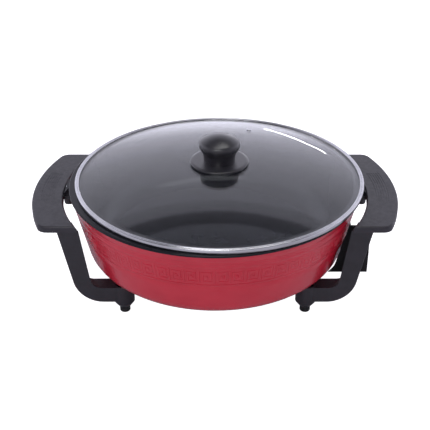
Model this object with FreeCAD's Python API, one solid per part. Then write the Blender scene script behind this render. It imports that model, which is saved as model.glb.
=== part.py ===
"""Round electric griddle: cast pan in a pressed outer shell, two handles with legs, glass lid.

Millimetres.  +Z is up, the feet stand on z = 0, +X points to the socket side,
and the origin is under the middle of the pan.  Every node is written to parts/NODE.step.
"""
import FreeCAD
import Part
import math
import os

V = FreeCAD.Vector

# ---- Pan casting ----
RIM_TOP = 141.0              # top of the pan's lip above the table
RIM_RADIUS = 182.0           # outside of the lip
LIP_WIDTH = 10.0
LIP_THICKNESS = 3.0
LIP_OVERHANG = 1.5           # lip beyond the shell
PAN_LEAN = 0.2               # outward run of the pan's wall for each millimetre up
PAN_WALL = 3.2
FLOOR_LIFT = 15.5            # cooking floor above the shell's underside
FLOOR_THICKNESS = 5.5
PAN_CORNER_RADIUS = 32.0

# ---- Outer shell ----
SHELL_LEAN = 0.229           # outward run of the shell for each millimetre up
SHELL_WALL = 1.2
SHELL_BOTTOM = 43.0
SHELL_CORNER_RADIUS = 26.0
SHELL_HOLE_SETBACK = 54.0    # hole in the shell's bottom, in from the lip
SHELL_CUT_GAP = 0.4          # round the bosses, ears and socket pad that pass through

# ---- Leg bosses, posts and feet ----
POST_SETBACK = 69.7          # posts in from the lip, along X
POST_Y = 84.0
BOSS_RADIUS = 9.2
BOSS_DROP = 6.0              # boss below the shell
POST_RADIUS = 12.6
POST_CUP_RADIUS = 10.4
POST_CUP_DEPTH = 3.0
POST_BOTTOM = 9.0
POST_TAPER_HEIGHT = 6.0
POST_TIP_RADIUS = 8.2
POST_SHOULDER_DROP = 7.0     # seat of the leg screw's washer below the boss
FOOT_RADIUS = 6.5
FOOT_PLUG_RADIUS = 5.6
FOOT_PLUG_LENGTH = 13.0
LEG_SCREW_RADIUS = 2.5
LEG_SCREW_REACH = 13.0       # thread inside the boss
LEG_HEAD_RADIUS = 4.7
LEG_HEAD_HEIGHT = 3.5
WASHER_THICKNESS = 1.0

# ---- Handle and leg frame ----
GRIP_DROP = 12.8             # top of the grip below the lip
GRIP_THICKNESS = 8.0
GRIP_GAP = 8.0               # finger gap between the lip and the grip
GRIP_WIDTH = 38.0
GRIP_OVERHANG = 3.7          # grip beyond the legs, front and back
GRIP_SKIN = 3.0
GRIP_CORNER_RADIUS = 13.0
GRIP_EDGE_RADIUS = 2.0
LEG_DEPTH = 21.0
LEG_TOP_WIDTH = 26.4
LEG_TOP_REACH = 5.0          # outer edge of the leg's top beyond the lip
LEG_SPLAY = 20.4             # how far the leg's outer edge comes in by the foot
LEG_FOOT_WIDTH = 17.1
LEG_BAR_DROP = 3.5           # top of the foot bar below the shell
LEG_BAR_THICKNESS = 21.3
LEG_OUTER_BEND = 36.0
LEG_INNER_BEND = 11.0
LEG_EDGE_RADIUS = 1.6
LUG_HALF_WIDTH = 17.0
LUG_SETBACK = 4.2            # lug screw in from the grip's inner edge
LUG_BOSS_DROP = 13.0
LUG_BOSS_TOP_RADIUS = 7.4
LUG_BOSS_TIP_RADIUS = 6.0
LUG_HEAD_RADIUS = 4.0
LUG_HEAD_HEIGHT = 3.2
LUG_EAR_EDGE = 4.0
LUG_EAR_GAP = 0.6            # ear short of the grip's inner edge
LUG_SCREW_RADIUS = 2.5
LUG_SCREW_REACH = 5.0
GRIP_SCREW_ANGLES = (-18.0, -8.0, 8.0, 18.0)
GRIP_SCREW_RADIUS = 1.75
GRIP_BOSS_RADIUS = 4.5
GRIP_HEAD_RADIUS = 6.0
GRIP_HEAD_HEIGHT = 1.6
GRIP_GROOVE_OFFSETS = (-7.5, -4.5, -1.5, 1.5, 4.5, 7.5)
GRIP_GROOVE_WIDTH = 1.2
GRIP_GROOVE_DEPTH = 0.3
GRIP_GROOVE_HALF_ANGLE = 11.0

# ---- Heating element, bottom plate and socket ----
ELEMENT_SETBACK = 87.0       # element ring in from the lip
ELEMENT_TUBE_RADIUS = 3.5
ELEMENT_BEND_RADIUS = 18.0
RIDGE_HALF_WIDTH = 6.0
RIDGE_HEIGHT = 3.0
PLATE_THICKNESS = 1.2
PLATE_OVERLAP = 4.0          # plate's edge on the shell's bottom flange
PLATE_SCREW_INSET = 16.0     # plate screws in from the shell's hole
PLATE_SCREW_ANGLES = (75.0, 180.0, 285.0)
PLATE_BOSS_RADIUS = 4.5
PLATE_SCREW_RADIUS = 1.75
PLATE_SCREW_REACH = 6.0
PLATE_HEAD_RADIUS = 3.5
PLATE_HEAD_HEIGHT = 1.6
PAD_SETBACK = 14.0           # outer face of the cast socket pad, in from the lip
PAD_ROOT = 28.0              # length of the pad, most of it inside the shell
PAD_HALF_WIDTH = 34.0
PAD_BELOW = 9.0              # pad below and above the pin axis
PAD_ABOVE = 13.0
PIN_SPACING = 28.0
PIN_RADIUS = 3.0
PIN_SHANK_RADIUS = 2.0       # thinner part inside the insulator
PIN_REACH = 19.0             # pin tip beyond the pad's face
SHEATH_INSET = 12.0          # end of the element's sheath inside the pad
INSULATOR_RADIUS = 4.6
INSULATOR_FLANGE_RADIUS = 6.5
INSULATOR_FLANGE = 2.5
WELL_RADIUS = 3.2
WELL_DEPTH = 20.0
WELL_BLOCK_LENGTH = 22.0
WELL_BLOCK_HALF_WIDTH = 6.6
WELL_BLOCK_PROUD = 2.0

# ---- Probe guard ----
GUARD_LEG_REACH = 0.5        # guard beyond the leg's top
GUARD_LIFT = 6.3             # guard's lower edge above the shell's underside
GUARD_DROP = 5.6             # guard's upper edge below the grip
GUARD_STEP_DROP = 35.9       # small ledge below the guard's upper edge
GUARD_STEP_DEPTH = 0.9
GUARD_PLATE = 3.0
GUARD_PAN_GAP = 1.5
GUARD_STRAP_SETBACK = 11.0   # inside of the strap, in from the lip
GUARD_STRAP_THICKNESS = 3.0
GUARD_STRAP_GAP = 3.0        # strap above the socket pad
GUARD_STRAP_HEIGHT = 14.0
GUARD_SCREW_MARGIN = 11.0    # guard screws in from the guard's upper and lower edge
GUARD_SCREW_SETBACK = 6.0    # guard screws in from the leg's outer edge
GUARD_SCREW_RADIUS = 1.75
GUARD_SCREW_REACH = 9.0
GUARD_HEAD_RADIUS = 3.6
GUARD_HEAD_HEIGHT = 2.2

# ---- Lid ----
LID_GAP = 0.3                # lid rim above the lip
LID_SETBACK = 2.0            # lid's edge in from the lip's edge
LID_OFFSET_X = 5.4           # the lid rests on the wide lip, a little to the socket side
BAND_THICKNESS = 0.6
BAND_REACH = 6.8             # flanges over the glass edge
BAND_CLEARANCE = 0.2
GLASS_THICKNESS = 4.0
GLASS_RISE = 18.5
GLASS_EDGE_FLAT = 7.0
GLASS_HOLE_RADIUS = 4.5
VENT_INSET = 46.3            # vent in from the foot of the dome
VENT_ANGLE = 71.0            # degrees round from +X
VENT_TUBE_RADIUS = 3.0
VENT_BORE_RADIUS = 1.6
VENT_FLANGE_RADIUS = 4.4
VENT_FLANGE = 1.2

# ---- Knob ----
GASKET_THICKNESS = 0.8
GASKET_RADIUS = 12.0
KNOB_BASE_RADIUS = 36.4
KNOB_BASE_RIM = 5.0          # width of the rim that stands round the dome
KNOB_BASE_THICKNESS = 3.4
KNOB_HEIGHT = 33.1           # grip above the base disc
KNOB_NECK_RADIUS = 19.5
KNOB_NECK_TOP_RADIUS = 21.2
KNOB_NECK_HOLLOW = 0.4       # how far the neck's side curves in
KNOB_NECK_HEIGHT = 11.6
KNOB_LOWER_EDGE_RADIUS = 24.8
KNOB_LOWER_EDGE_HEIGHT = 16.6
KNOB_RADIUS = 26.2
KNOB_WIDEST_HEIGHT = 20.8
KNOB_SHOULDER_RADIUS = 24.6
KNOB_SHOULDER_HEIGHT = 25.4
INSERT_RADIUS = 4.0
INSERT_LENGTH = 14.0
KNOB_SCREW_RADIUS = 2.5
KNOB_HEAD_RADIUS = 4.8
KNOB_HEAD_HEIGHT = 3.0
KNOB_WASHER_RADIUS = 8.5

FIT = 0.1                    # radial clearance round screws, pins and inserts
SIDES = {"left": -1, "right": 1}

# ---- Places that follow from the sizes above ----
UNDER_LIP = RIM_TOP - LIP_THICKNESS
MOUTH_RADIUS = RIM_RADIUS - LIP_WIDTH
SHELL_TOP_RADIUS = RIM_RADIUS - LIP_OVERHANG
SHELL_HOLE_RADIUS = RIM_RADIUS - SHELL_HOLE_SETBACK
FLOOR_TOP = SHELL_BOTTOM + FLOOR_LIFT
PAN_UNDERSIDE = FLOOR_TOP - FLOOR_THICKNESS
BOSS_BOTTOM = SHELL_BOTTOM - BOSS_DROP
POST_X = RIM_RADIUS - POST_SETBACK
POST_TOP = BOSS_BOTTOM + POST_CUP_DEPTH
SHOULDER_HEIGHT = BOSS_BOTTOM - POST_SHOULDER_DROP
GRIP_TOP = RIM_TOP - GRIP_DROP
GRIP_BOTTOM = GRIP_TOP - GRIP_THICKNESS
GRIP_INNER_RADIUS = RIM_RADIUS + GRIP_GAP
GRIP_OUTER_RADIUS = GRIP_INNER_RADIUS + GRIP_WIDTH
GRIP_MIDDLE_RADIUS = GRIP_INNER_RADIUS + GRIP_WIDTH / 2
LEG_FRONT_Y = POST_Y + LEG_DEPTH / 2
LEG_BACK_Y = POST_Y - LEG_DEPTH / 2
GRIP_HALF_LENGTH = LEG_FRONT_Y + GRIP_OVERHANG
LEG_TOP_OUTER_X = RIM_RADIUS + LEG_TOP_REACH
LEG_TOP_INNER_X = LEG_TOP_OUTER_X - LEG_TOP_WIDTH
LEG_OUTER_CORNER_X = LEG_TOP_OUTER_X - LEG_SPLAY
LEG_INNER_CORNER_X = LEG_OUTER_CORNER_X - LEG_FOOT_WIDTH
LEG_BAR_TOP = SHELL_BOTTOM - LEG_BAR_DROP
LEG_BAR_BOTTOM = LEG_BAR_TOP - LEG_BAR_THICKNESS
LUG_X = GRIP_INNER_RADIUS - LUG_SETBACK
ELEMENT_RING_RADIUS = RIM_RADIUS - ELEMENT_SETBACK
PLATE_BOTTOM = SHELL_BOTTOM + SHELL_WALL
PLATE_TOP = PLATE_BOTTOM + PLATE_THICKNESS
PAD_FACE_X = RIM_RADIUS - PAD_SETBACK
PIN_Z = PAN_UNDERSIDE
PIN_TIP_X = PAD_FACE_X + PIN_REACH
INSULATOR_FACE_X = PAD_FACE_X + INSULATOR_FLANGE
SHEATH_END_X = PAD_FACE_X - SHEATH_INSET
GUARD_OUTER_X = LEG_TOP_OUTER_X + GUARD_LEG_REACH
GUARD_BOTTOM = SHELL_BOTTOM + GUARD_LIFT
GUARD_TOP = GRIP_BOTTOM - GUARD_DROP
GUARD_STEP = GUARD_TOP - GUARD_STEP_DROP
GUARD_STRAP_RADIUS = RIM_RADIUS - GUARD_STRAP_SETBACK
GUARD_STRAP_BOTTOM = PIN_Z + PAD_ABOVE + GUARD_STRAP_GAP
LID_BOTTOM = RIM_TOP + LID_GAP
LID_RADIUS = RIM_RADIUS - LID_SETBACK
GLASS_BOTTOM = LID_BOTTOM + BAND_THICKNESS + FIT
GLASS_EDGE_RADIUS = LID_RADIUS - BAND_THICKNESS - BAND_CLEARANCE
DOME_RADIUS = GLASS_EDGE_RADIUS - GLASS_EDGE_FLAT
GLASS_APEX = GLASS_BOTTOM + GLASS_THICKNESS + GLASS_RISE
VENT_RADIUS = DOME_RADIUS - VENT_INSET


# ---- Shape helpers ----
def rounded_wire(corners, place):
    """Closed wire through corners (a, b, radius); place(a, b) puts a corner in space."""
    starts, middles, ends = [], [], []
    for index, (a, b, radius) in enumerate(corners):
        here = V(a, b, 0)
        before = V(*corners[index - 1][:2], 0)
        after = V(*corners[(index + 1) % len(corners)][:2], 0)
        back = (before - here).normalize()
        ahead = (after - here).normalize()
        half_angle = back.getAngle(ahead) / 2
        reach = radius / math.tan(half_angle)
        inward = (back + ahead).normalize() if radius else V()
        starts.append(here + back * reach)
        ends.append(here + ahead * reach)
        middles.append(here + inward * (radius / math.sin(half_angle) - radius))
    edges = []
    for index, corner in enumerate(corners):
        start, middle, end = (place(p.x, p.y) for p in (starts[index], middles[index], ends[index]))
        if corner[2]:
            edges.append(Part.Arc(start, middle, end).toShape())
        following = starts[(index + 1) % len(corners)]
        edges.append(Part.LineSegment(end, place(following.x, following.y)).toShape())
    return Part.Wire(edges)


def turned(corners):
    """Solid of revolution about Z from corners (radius, height, corner radius)."""
    face = Part.Face(rounded_wire(corners, lambda r, z: V(r, 0, z)))
    return face.revolve(V(), V(0, 0, 1), 360)


def turned_edges(edges):
    """Solid of revolution about Z from ready edges in the XZ plane."""
    wire = Part.Wire(Part.__sortEdges__(edges))
    return Part.Face(wire).revolve(V(), V(0, 0, 1), 360)


def line(start, end):
    return Part.LineSegment(V(start[0], 0, start[1]), V(end[0], 0, end[1])).toShape()


def arc(start, middle, end):
    return Part.Arc(*(V(p[0], 0, p[1]) for p in (start, middle, end))).toShape()


def cap_height(radius, edge_radius, edge, top):
    """Height at a radius of a spherical cap that rises from its edge to its top."""
    rise = top - edge
    sphere = (edge_radius ** 2 + rise ** 2) / (2 * rise)
    return top - sphere + math.sqrt(sphere ** 2 - radius ** 2)


def cap_arc(edge_radius, edge, top):
    half = edge_radius / 2
    return arc((edge_radius, edge), (half, cap_height(half, edge_radius, edge, top)), (0, top))


def upright(radius, bottom, top, x=0.0, y=0.0):
    return Part.makeCylinder(radius, top - bottom, V(x, y, bottom))


def along_x(radius, start, end, y, z):
    return Part.makeCylinder(radius, end - start, V(start, y, z), V(1, 0, 0))


def ring(inner, outer, bottom, top, x=0.0, y=0.0):
    return upright(outer, bottom, top, x, y).cut(upright(inner, bottom - 1, top + 1, x, y))


def block(x0, x1, y0, y1, z0, z1):
    return Part.makeBox(x1 - x0, y1 - y0, z1 - z0, V(x0, y0, z0))


def joined(first, *others):
    return first.fuse(list(others)).removeSplitter()


def on_side(shape, side):
    """The shape as modelled for +X, or mirrored to the left of the pan."""
    if SIDES[side] > 0:
        return shape
    return shape.mirror(V(), V(1, 0, 0))


def front_and_back(shape):
    return [shape, shape.mirror(V(), V(0, 1, 0))]


def shell_radius(height):
    """Outside radius of the shell's straight wall at a height."""
    return SHELL_TOP_RADIUS - SHELL_LEAN * (UNDER_LIP - height)


def mouth_radius(height):
    """Inside radius of the pan's straight wall at a height."""
    return MOUTH_RADIUS - PAN_LEAN * (RIM_TOP - height)


def shell_envelope(gap):
    """The shell's outside grown by a gap (shrunk if negative), up to the top of the lip."""
    return turned([(0, SHELL_BOTTOM - gap, 0),
                   (shell_radius(SHELL_BOTTOM) + gap, SHELL_BOTTOM - gap, SHELL_CORNER_RADIUS + gap),
                   (shell_radius(RIM_TOP) + gap, RIM_TOP, 0),
                   (0, RIM_TOP, 0)])


def pan_cavity(gap):
    """The space inside the pan grown by a gap, from the cooking floor to the top of the lip."""
    return turned([(0, FLOOR_TOP - gap, 0),
                   (mouth_radius(FLOOR_TOP) + gap, FLOOR_TOP - gap, PAN_CORNER_RADIUS + gap),
                   (MOUTH_RADIUS + gap, RIM_TOP, 0),
                   (0, RIM_TOP, 0)])


def element_path(end_x):
    """Planar path of the element: a broken ring whose two ends run out along +X."""
    run_y = PIN_SPACING / 2
    bend_y = run_y + ELEMENT_BEND_RADIUS
    reach = ELEMENT_RING_RADIUS + ELEMENT_BEND_RADIUS
    bend_x = math.sqrt(reach ** 2 - bend_y ** 2)
    turn = math.atan2(bend_y, bend_x)
    meet = V(math.cos(turn), math.sin(turn), 0) * ELEMENT_RING_RADIUS
    middle_turn = (turn + math.pi + math.pi * 1.5) / 2
    bend_middle = V(bend_x, bend_y, 0) + V(math.cos(middle_turn), math.sin(middle_turn), 0) * ELEMENT_BEND_RADIUS
    upper = [V(end_x, run_y, 0), V(bend_x, run_y, 0), bend_middle, meet]
    lower = [V(p.x, -p.y, 0) for p in upper]
    lift = V(0, 0, PIN_Z)
    upper, lower = [p + lift for p in upper], [p + lift for p in lower]
    return Part.Wire([
        Part.LineSegment(upper[0], upper[1]).toShape(),
        Part.Arc(upper[1], upper[2], upper[3]).toShape(),
        Part.Arc(upper[3], V(-ELEMENT_RING_RADIUS, 0, PIN_Z), lower[3]).toShape(),
        Part.Arc(lower[3], lower[2], lower[1]).toShape(),
        Part.LineSegment(lower[1], lower[0]).toShape()])


def tube_along(path, radius):
    start = path.Edges[0].Vertexes[0].Point
    section = Part.Wire(Part.makeCircle(radius, start, V(1, 0, 0)))
    return path.makePipeShell([section], True, False)


# ---- Pan and heating ----
def pan_body():
    outer_foot = mouth_radius(PAN_UNDERSIDE) + PAN_WALL
    casting = turned([(0, FLOOR_TOP, 0),
                      (mouth_radius(FLOOR_TOP), FLOOR_TOP, PAN_CORNER_RADIUS),
                      (MOUTH_RADIUS, RIM_TOP, 1.0),
                      (RIM_RADIUS, RIM_TOP, 1.2),
                      (RIM_RADIUS, UNDER_LIP, 0.8),
                      (mouth_radius(UNDER_LIP) + PAN_WALL, UNDER_LIP, 1.0),
                      (outer_foot, PAN_UNDERSIDE, PAN_CORNER_RADIUS),
                      (0, PAN_UNDERSIDE, 0)])
    cast_on = [ring(ELEMENT_RING_RADIUS - RIDGE_HALF_WIDTH, ELEMENT_RING_RADIUS + RIDGE_HALF_WIDTH,
                    PAN_UNDERSIDE - RIDGE_HEIGHT, PAN_UNDERSIDE + 1), socket_pad(0)]
    cast_on += [upright(PLATE_BOSS_RADIUS, PLATE_TOP, PAN_UNDERSIDE + 1, x, y)
                for x, y in plate_screw_places()]
    cast_on += [leg_boss(x, y, 0) for x, y in post_places()]
    cast_on += [on_side(lug_ear(0), side) for side in SIDES]
    cavity = pan_cavity(0)
    casting = joined(casting, *[piece.cut(cavity) for piece in cast_on])
    cuts = [tube_along(element_path(SHEATH_END_X), ELEMENT_TUBE_RADIUS + 2 * FIT), well_block_outline(FIT)]
    cuts += [along_x(INSULATOR_RADIUS + FIT, SHEATH_END_X, PAD_FACE_X + 1, y, PIN_Z) for y in pin_places()]
    cuts += [upright(LEG_SCREW_RADIUS + FIT, BOSS_BOTTOM - 1, BOSS_BOTTOM + LEG_SCREW_REACH, x, y)
             for x, y in post_places()]
    cuts += [upright(PLATE_SCREW_RADIUS + FIT, PLATE_TOP - 1, PLATE_BOTTOM + PLATE_SCREW_REACH + 1, x, y)
             for x, y in plate_screw_places()]
    cuts += [upright(LUG_SCREW_RADIUS + FIT, GRIP_BOTTOM, lug_ear_bottom() + LUG_SCREW_REACH + 0.5,
                     direction * LUG_X) for direction in SIDES.values()]
    return casting.cut(cuts)


def outer_shell():
    """Thin pressed shell, open over the bottom plate and cut away where the pan comes through."""
    skin = shell_envelope(0).cut(shell_envelope(-SHELL_WALL))
    cuts = [upright(RIM_RADIUS + 5, UNDER_LIP, RIM_TOP + 1),
            upright(SHELL_HOLE_RADIUS, SHELL_BOTTOM - 1, SHELL_BOTTOM + SHELL_WALL + 1),
            socket_pad(SHELL_CUT_GAP)]
    cuts += [leg_boss(x, y, SHELL_CUT_GAP) for x, y in post_places()]
    cuts += [on_side(lug_ear(SHELL_CUT_GAP), side) for side in SIDES]
    return skin.cut(cuts)


def leg_boss(x, y, gap):
    return upright(BOSS_RADIUS + gap, BOSS_BOTTOM, PAN_UNDERSIDE + PAN_CORNER_RADIUS / 4, x, y)


def socket_pad(gap):
    """Thick pad cast on the pan's corner, where the pins and the sensor block come out."""
    return block(PAD_FACE_X - PAD_ROOT, PAD_FACE_X, -PAD_HALF_WIDTH - gap, PAD_HALF_WIDTH + gap,
                 PIN_Z - PAD_BELOW - gap, PIN_Z + PAD_ABOVE + gap)


def lug_ear_bottom():
    return GRIP_TOP - GRIP_SKIN + FIT


def lug_ear(gap):
    """Cast ear under the lip that the handle's tongue is screwed to, grown all round by a gap."""
    bottom = lug_ear_bottom()
    inner_x = mouth_radius(bottom)
    outer_x = math.sqrt(GRIP_INNER_RADIUS ** 2 - LUG_HALF_WIDTH ** 2) - LUG_EAR_GAP
    half_width = LUG_HALF_WIDTH + gap
    side_face = Part.Face(rounded_wire([(inner_x, bottom - gap, 0),
                                        (outer_x + gap, bottom - gap, 0.6),
                                        (outer_x + gap, bottom + LUG_EAR_EDGE, 1.5),
                                        (SHELL_TOP_RADIUS, UNDER_LIP + gap, 0),
                                        (inner_x, UNDER_LIP + gap, 0)],
                                       lambda x, z: V(x, -half_width, z)))
    return side_face.extrude(V(0, 2 * half_width, 0))


def post_places():
    return [(x, y) for x in (-POST_X, POST_X) for y in (-POST_Y, POST_Y)]


def plate_screw_places():
    circle = SHELL_HOLE_RADIUS - PLATE_SCREW_INSET
    return [(circle * math.cos(math.radians(a)), circle * math.sin(math.radians(a)))
            for a in PLATE_SCREW_ANGLES]


def pin_places():
    return (-PIN_SPACING / 2, PIN_SPACING / 2)


def heating_element():
    return tube_along(element_path(SHEATH_END_X), ELEMENT_TUBE_RADIUS)


def bottom_plate():
    plate = upright(SHELL_HOLE_RADIUS + PLATE_OVERLAP, PLATE_BOTTOM, PLATE_TOP)
    holes = [upright(PLATE_SCREW_RADIUS + FIT, PLATE_BOTTOM - 1, PLATE_TOP + 1, x, y)
             for x, y in plate_screw_places()]
    return plate.cut(holes + [leg_boss(x, y, SHELL_CUT_GAP) for x, y in post_places()])


def bottom_plate_screws():
    return Part.Compound([screw_up(PLATE_SCREW_RADIUS, PLATE_SCREW_REACH, PLATE_HEAD_RADIUS,
                                   PLATE_HEAD_HEIGHT, x, y, PLATE_BOTTOM)
                          for x, y in plate_screw_places()])


def screw_up(radius, length, head_radius, head_height, x, y, seat):
    """Screw driven upward: its head hangs below the seat height."""
    head = upright(head_radius, seat - head_height, seat, x, y)
    return joined(head, upright(radius, seat - head_height / 2, seat + length, x, y))


def well_block_outline(gap):
    """Seat of the sensor block in the socket pad, or the block itself with no gap."""
    half = WELL_BLOCK_HALF_WIDTH + gap
    outer = PAD_FACE_X + WELL_BLOCK_PROUD
    return block(outer - WELL_BLOCK_LENGTH - gap, outer, -half, half, PIN_Z - half, PIN_Z + half)


def socket_block():
    outer = PAD_FACE_X + WELL_BLOCK_PROUD
    return well_block_outline(0).cut(along_x(WELL_RADIUS, outer - WELL_DEPTH, outer + 1, 0, PIN_Z))


def terminal_insulators():
    bushes = []
    for y in pin_places():
        flange = along_x(INSULATOR_FLANGE_RADIUS, PAD_FACE_X, PAD_FACE_X + INSULATOR_FLANGE, y, PIN_Z)
        bush = joined(flange, along_x(INSULATOR_RADIUS, SHEATH_END_X + FIT, PAD_FACE_X + 1, y, PIN_Z))
        bushes.append(bush.cut(along_x(PIN_SHANK_RADIUS + FIT / 2, SHEATH_END_X, PIN_TIP_X, y, PIN_Z)))
    return Part.Compound(bushes)


def terminal_pins():
    pins = []
    for y in pin_places():
        pin = along_x(PIN_RADIUS, INSULATOR_FACE_X + 2 * FIT, PIN_TIP_X, y, PIN_Z)
        tip = [edge for edge in pin.Edges if edge.BoundBox.XMin > PIN_TIP_X - 0.01]
        shank = along_x(PIN_SHANK_RADIUS, SHEATH_END_X, INSULATOR_FACE_X + 1, y, PIN_Z)
        pins.append(joined(pin.makeFillet(PIN_RADIUS / 3, tip), shank))
    return Part.Compound(pins)


# ---- Probe guard ----
def guard_screw_places():
    """Places (x, z) of the two screws that hold each side plate to its leg."""
    lean = LEG_SPLAY / (GRIP_BOTTOM - LEG_BAR_BOTTOM)
    heights = (GUARD_TOP - GUARD_SCREW_MARGIN, GUARD_BOTTOM + GUARD_SCREW_MARGIN)
    return [(LEG_TOP_OUTER_X - lean * (GRIP_BOTTOM - z) - GUARD_SCREW_SETBACK, z) for z in heights]


def probe_guard():
    inner_x = PAD_FACE_X / 2
    plate = block(inner_x, GUARD_OUTER_X, -LEG_BACK_Y, -LEG_BACK_Y + GUARD_PLATE, GUARD_BOTTOM, GUARD_TOP)
    relief = block(inner_x, GUARD_OUTER_X + 1, -LEG_BACK_Y - 1, -LEG_BACK_Y + GUARD_STEP_DEPTH,
                   GUARD_STEP, GUARD_TOP + 1)
    holes = [Part.makeCylinder(GUARD_SCREW_RADIUS + FIT, 10, V(x, -LEG_BACK_Y - 1, z), V(0, 1, 0))
             for x, z in guard_screw_places()]
    plate = plate.cut([relief, *holes])
    strap = ring(GUARD_STRAP_RADIUS, GUARD_STRAP_RADIUS + GUARD_STRAP_THICKNESS,
                 GUARD_STRAP_BOTTOM, GUARD_STRAP_BOTTOM + GUARD_STRAP_HEIGHT)
    strap = strap.common(block(inner_x, GUARD_OUTER_X, -LEG_BACK_Y + GUARD_STEP_DEPTH,
                               LEG_BACK_Y - GUARD_STEP_DEPTH, GUARD_BOTTOM, GUARD_TOP))
    return joined(strap, *front_and_back(plate)).cut(shell_envelope(GUARD_PAN_GAP))


def guard_screws():
    inner_face = LEG_BACK_Y - GUARD_PLATE
    screws = []
    for x, z in guard_screw_places():
        head = Part.makeCylinder(GUARD_HEAD_RADIUS, GUARD_HEAD_HEIGHT, V(x, -inner_face, z), V(0, 1, 0))
        shank = Part.makeCylinder(GUARD_SCREW_RADIUS, GUARD_PLATE + GUARD_SCREW_REACH + 1,
                                  V(x, -inner_face + 1, z), V(0, -1, 0))
        screws += front_and_back(joined(head, shank))
    return Part.Compound(screws)


# ---- Handles, legs and feet ----
def grip_sector(inner, outer, half_length, bottom, top):
    sector = ring(inner, outer, bottom, top)
    return sector.common(block(0, outer + 1, -half_length, half_length, bottom, top))


def grip_screw_places():
    return [(GRIP_MIDDLE_RADIUS * math.cos(math.radians(a)), GRIP_MIDDLE_RADIUS * math.sin(math.radians(a)))
            for a in GRIP_SCREW_ANGLES]


def handle_cover(side):
    body = grip_sector(GRIP_INNER_RADIUS, GRIP_OUTER_RADIUS, GRIP_HALF_LENGTH, GRIP_BOTTOM, GRIP_TOP)
    corner_x = math.sqrt(GRIP_MIDDLE_RADIUS ** 2 - GRIP_HALF_LENGTH ** 2)
    corners = [e for e in body.Edges if e.BoundBox.ZLength > GRIP_THICKNESS / 2]
    body = body.makeFillet(GRIP_CORNER_RADIUS, [e for e in corners if e.BoundBox.XMin > corner_x])
    top_edges = [e for e in body.Edges if e.BoundBox.ZMin > GRIP_TOP - 0.01]
    body = body.makeFillet(GRIP_EDGE_RADIUS, top_edges)
    hollow = grip_sector(GRIP_INNER_RADIUS + GRIP_SKIN, GRIP_OUTER_RADIUS - GRIP_SKIN,
                         GRIP_HALF_LENGTH - GRIP_SKIN, GRIP_BOTTOM - 1, GRIP_TOP - GRIP_SKIN)
    posts = [e for e in hollow.Edges if e.BoundBox.ZLength > GRIP_THICKNESS / 2]
    hollow = hollow.makeFillet(GRIP_CORNER_RADIUS - GRIP_SKIN,
                               [e for e in posts if e.BoundBox.XMin > corner_x])
    notch = block(GRIP_INNER_RADIUS - 2, GRIP_INNER_RADIUS + GRIP_SKIN + 1,
                  -LUG_HALF_WIDTH - 2 * FIT, LUG_HALF_WIDTH + 2 * FIT,
                  GRIP_BOTTOM - 1, GRIP_TOP - GRIP_SKIN)
    body = body.cut([hollow, notch] + grip_grooves())
    bosses = [upright(GRIP_BOSS_RADIUS, GRIP_BOTTOM, GRIP_TOP - GRIP_SKIN, x, y)
              for x, y in grip_screw_places()]
    holes = [upright(GRIP_SCREW_RADIUS + FIT, GRIP_BOTTOM - 1, GRIP_TOP - GRIP_SKIN / 2, x, y)
             for x, y in grip_screw_places()]
    return on_side(joined(body, *bosses).cut(holes), side)


def grip_grooves():
    """Shallow arcs pressed into the middle of the grip's top."""
    grooves = []
    for offset in GRIP_GROOVE_OFFSETS:
        radius = GRIP_MIDDLE_RADIUS + offset
        half_length = radius * math.sin(math.radians(GRIP_GROOVE_HALF_ANGLE))
        grooves.append(grip_sector(radius - GRIP_GROOVE_WIDTH / 2, radius + GRIP_GROOVE_WIDTH / 2,
                                   half_length, GRIP_TOP - GRIP_GROOVE_DEPTH, GRIP_TOP + 1))
    return grooves


def leg():
    """Front right leg: a tapering upright that bends in to a flat bar over the foot."""
    outline = rounded_wire([(LEG_TOP_OUTER_X, GRIP_BOTTOM, 0),
                            (LEG_OUTER_CORNER_X, LEG_BAR_BOTTOM, LEG_OUTER_BEND),
                            (POST_X, LEG_BAR_BOTTOM, 0),
                            (POST_X, GRIP_BOTTOM, 0)],
                           lambda x, z: V(x, -LEG_FRONT_Y, z))
    bar = Part.Face(outline).extrude(V(0, LEG_DEPTH, 0))
    outer_edges = [e for e in bar.Edges if e.BoundBox.YLength < 0.01
                   and e.BoundBox.ZMin < GRIP_BOTTOM - 0.01 and e.BoundBox.XMax > POST_X + 0.01]
    bar = bar.makeFillet(LEG_EDGE_RADIUS, outer_edges)
    foot_radius = math.hypot(LEG_INNER_CORNER_X, LEG_FRONT_Y)
    top_radius = math.hypot(LEG_TOP_INNER_X, LEG_FRONT_Y)
    return bar.cut(turned([(0, LEG_BAR_TOP, 0), (foot_radius, LEG_BAR_TOP, LEG_INNER_BEND),
                           (top_radius, GRIP_BOTTOM, 0), (top_radius, GRIP_BOTTOM + 1, 0),
                           (0, GRIP_BOTTOM + 1, 0)]))


def post():
    """Round post under the pan boss, tapering to the foot."""
    barrel = upright(POST_RADIUS, POST_BOTTOM + POST_TAPER_HEIGHT, POST_TOP, POST_X, -POST_Y)
    taper = Part.makeCone(POST_TIP_RADIUS, POST_RADIUS, POST_TAPER_HEIGHT, V(POST_X, -POST_Y, POST_BOTTOM))
    return barrel.fuse(taper)


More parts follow.
